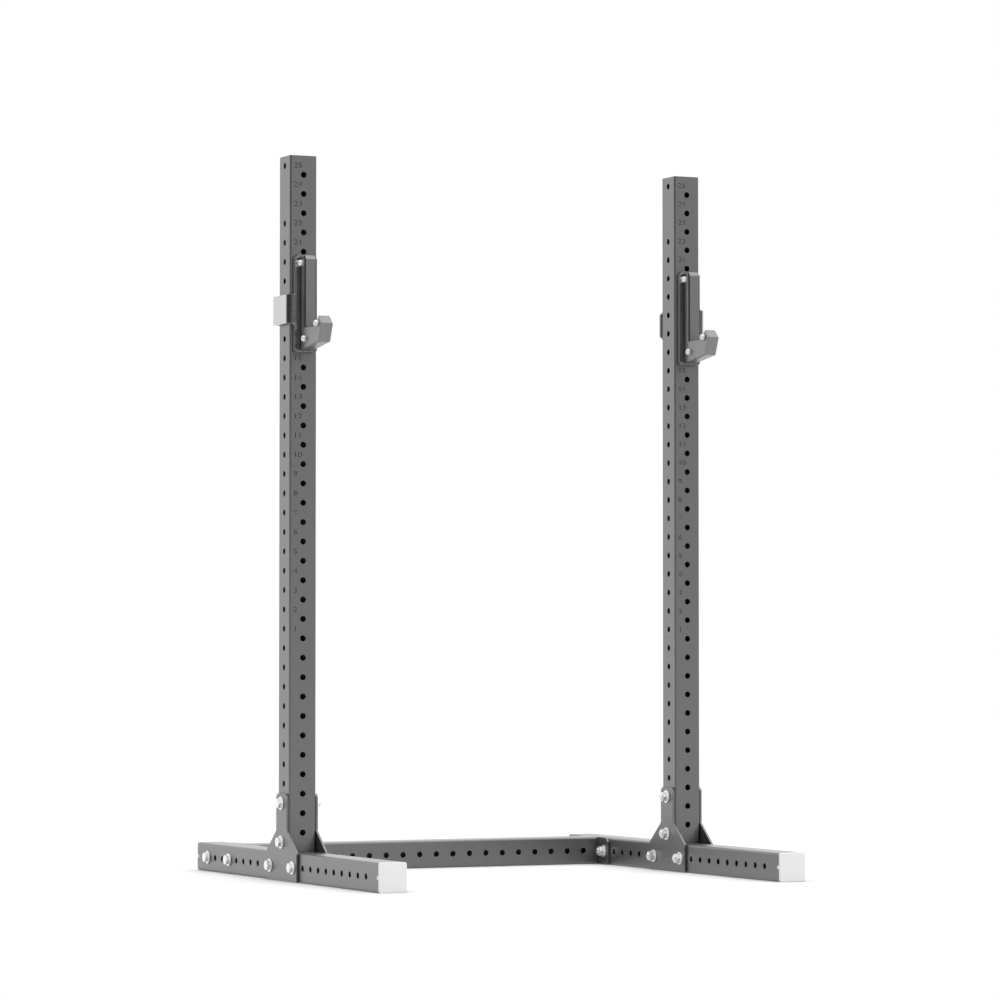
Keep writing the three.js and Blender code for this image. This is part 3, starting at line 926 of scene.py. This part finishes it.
# Each cup is built in its place on the upright: the bracket with its pins, the liner, the hook and its
# bolts. All of it rides on the cup's own body. Outward is away from the stand's middle.
for side, way in (("left", -1), ("right", 1)):
    body = f"cup_{side}"
    tube_low, tube_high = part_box(f"upright_{side}")
    tube_middle = (tube_low + tube_high) / 2
    tube_half = (tube_high.x - tube_low.x) / 2
    x_of = lambda out: tube_middle.x + way * out
    low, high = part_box(f"cup_bracket_{side}")
    row = low.z + plate_drop
    outer_x, leg_x = (high.x, low.x) if way > 0 else (low.x, high.x)
    side_out = way * (outer_x - tube_middle.x)
    leg_out = way * (leg_x - tube_middle.x)
    front, back = low.y, high.y
    band_low = row - band_half
    plate_half = side_out - band_bend

    plate_outline = [
        (plate_half - plate_low_cut, low.z),
        (plate_half, low.z + plate_low_cut),
        (plate_half, high.z - plate_top_cut[1]),
        (plate_half - plate_top_cut[0], high.z),
    ]
    corners = [(x_of(out), front, up) for out, up in both_sides(plate_outline)]
    bracket = add_plate(f"cup_bracket_{side}_sheet", corners, (0, sheet_thickness, 0))
    line = (side_out, front, back, leg_out)
    band_outline = band_line(0, *line) + band_line(sheet_thickness, *line)[::-1]
    flare = max(band_flares)
    corners = [(x_of(out), rear, band_low - flare) for out, rear in band_outline]
    band = add_plate("band", corners, (0, 0, 2 * (band_half + flare)))
    bend_rear = front + band_bend
    for upward, flare in zip((-1, 1), band_flares):
        edge = row + upward * band_half
        far = edge + upward * 4 * max(band_flares)
        slope = [
            (plate_half, edge + upward * flare),
            (plate_half + flare, edge),
            (side_out + drill_overrun, edge),
            (side_out + drill_overrun, far),
            (-drill_overrun, far),
            (-drill_overrun, edge + upward * flare),
        ]
        corners = [(x_of(out), front - drill_overrun, up) for out, up in slope]
        reach = bend_rear - front + drill_overrun
        subtract(band, [add_plate("slope", corners, (0, reach, 0))])
        ends = sorted((x_of(leg_out - drill_overrun), x_of(side_out + drill_overrun)))
        span = sorted((edge, far))
        lower = (ends[0], bend_rear - seam, span[0])
        upper = (ends[1], back + drill_overrun, span[1])
        subtract(band, [add_block("rest", lower, upper)])
    cut_leg_corners(band, leg_out, x_of)
    modify(bracket, "BOOLEAN", operation="UNION", solver="EXACT", object=band)
    bpy.data.objects.remove(band)
    soften(bracket, sheet_edge)
    pins = []
    for step in (-0.5, 0.5):
        ends = sorted((x_of(side_out - sheet_thickness / 2), x_of(tube_half - pin_sink)))
        pin = add_turned("pin", pin_width / 2, *ends)
        bpy.ops.object.mode_set(mode="EDIT")
        pick("FACE", lambda part: part.normal.x * way < -aligned)
        bpy.ops.mesh.bevel(offset=pin_tip, segments=pin_tip_steps, affect="EDGES")
        bpy.ops.object.mode_set(mode="OBJECT")
        pin.data.transform(Matrix.Translation((0, tube_middle.y, row + step * hole_pitch)))
        shade(pin)
        pins.append(pin)
    bracket = joined(f"cup_bracket_{side}_sheet", bracket, *pins)
    mount(bracket, body, "polished_steel", polished_steel, f"cup_bracket_{side}")
    bracket.data.materials.append(sheared_steel)
    for face in bracket.data.polygons:
        on_plate = abs(face.center.x - tube_middle.x) < plate_half + seam
        in_front = face.center.y < front + sheet_thickness
        if on_plate and in_front and abs(face.normal.y) < sheet_face_share:
            face.material_index = 1

    pad_back = tube_low.y - seam
    corners = [(x_of(out), pad_back, up) for out, up in both_sides(plate_outline)]
    pad = add_plate("pad", corners, (0, -liner_thickness, 0))
    inset = sheet_thickness + seam
    wall_out = side_out - inset
    wall_back = back - inset
    bend_centre = (side_out - band_bend, bend_rear)
    tube_side = tube_half + seam
    wrap_outline = [
        (0, pad_back - liner_thickness + seam),
        *arc(bend_centre, band_bend - inset, liner_bend_start - math.pi / 2, 0, liner_bend_steps),
        (wall_out, wall_back - band_back_bend),
        (wall_out - band_back_bend, wall_back),
        (leg_out + seam, wall_back),
        (leg_out + seam, tube_side),
        (tube_side, tube_side),
        (tube_side, -tube_side),
        (0, -tube_side),
    ]
    corners = [(x_of(out), rear, band_low) for out, rear in wrap_outline]
    wrap = add_plate("wrap", corners, (0, 0, 2 * band_half))
    cut_leg_corners(wrap, leg_out + seam, x_of)
    liner = joined(f"cup_liner_{side}_moulding", pad, wrap)
    soften(liner, liner_edge)
    mount(liner, body, "liner_plastic", liner_plastic, f"cup_liner_{side}")

    body_low, body_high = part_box(f"cup_body_{side}")
    body_half = (body_high.x - body_low.x) / 2
    root = body_high.y
    shelf_end = stem_depth + shelf_depth
    lip_back = shelf_end + ramp_depth
    face_top = body_high.y - body_low.y
    shelf = row - shelf_drop
    lip = shelf + ramp_rise
    hook_outline = [
        (0, body_low.z),
        (face_top - face_setback, lip - lip_bevel_height - face_height),
        (face_top, lip - lip_bevel_height),
        (lip_back + lip_depth, lip),
        (lip_back, lip),
        (shelf_end, shelf),
        (stem_depth, shelf),
        (stem_depth, body_high.z - stem_bevel_height),
        (stem_depth - stem_bevel_depth, body_high.z),
        (0, body_high.z),
    ]
    corners = [(body_low.x, root - forward, up) for forward, up in hook_outline]
    hook = add_plate(f"cup_body_{side}_moulding", corners, (2 * body_half, 0, 0))
    bpy.ops.object.mode_set(mode="EDIT")
    pick("EDGE", lambda part: not run_along(0)(part))
    bpy.ops.mesh.bevel(offset=body_chamfer, segments=1, affect="EDGES")
    bpy.ops.object.mode_set(mode="OBJECT")
    bolt_nodes = [f"cup_bolt_{index}_{side}" for index in (1, 2, 3)]
    bore(hook, [sum(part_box(node), Vector()) / 2 for node in bolt_nodes], cup_shank)
    soften(hook, body_edge)
    mount(hook, body, "cup_plastic", cup_plastic, f"cup_body_{side}")
    # The two chamfers at the stem's front take the second finish, a painted shade.
    hook.data.materials.append(stem_chamfer_shade)
    for face in hook.data.polygons:
        on_stem = face.center.y > root - stem_depth - seam
        sideways = shaded_chamfer_sideways[0] < abs(face.normal.x) < shaded_chamfer_sideways[1]
        if on_stem and sideways and face.normal.y < -shaded_chamfer_forward:
            face.material_index = 1

    for node in bolt_nodes:
        bolt = add_domed_bolt(f"{node}_hardware", *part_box(node))
        mount(bolt, body, "zinc", satin_zinc, node)

    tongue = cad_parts[f"cup_tongue_{side}"]
    tongue.data.materials.clear()
    tongue.data.materials.append(powder_coat)
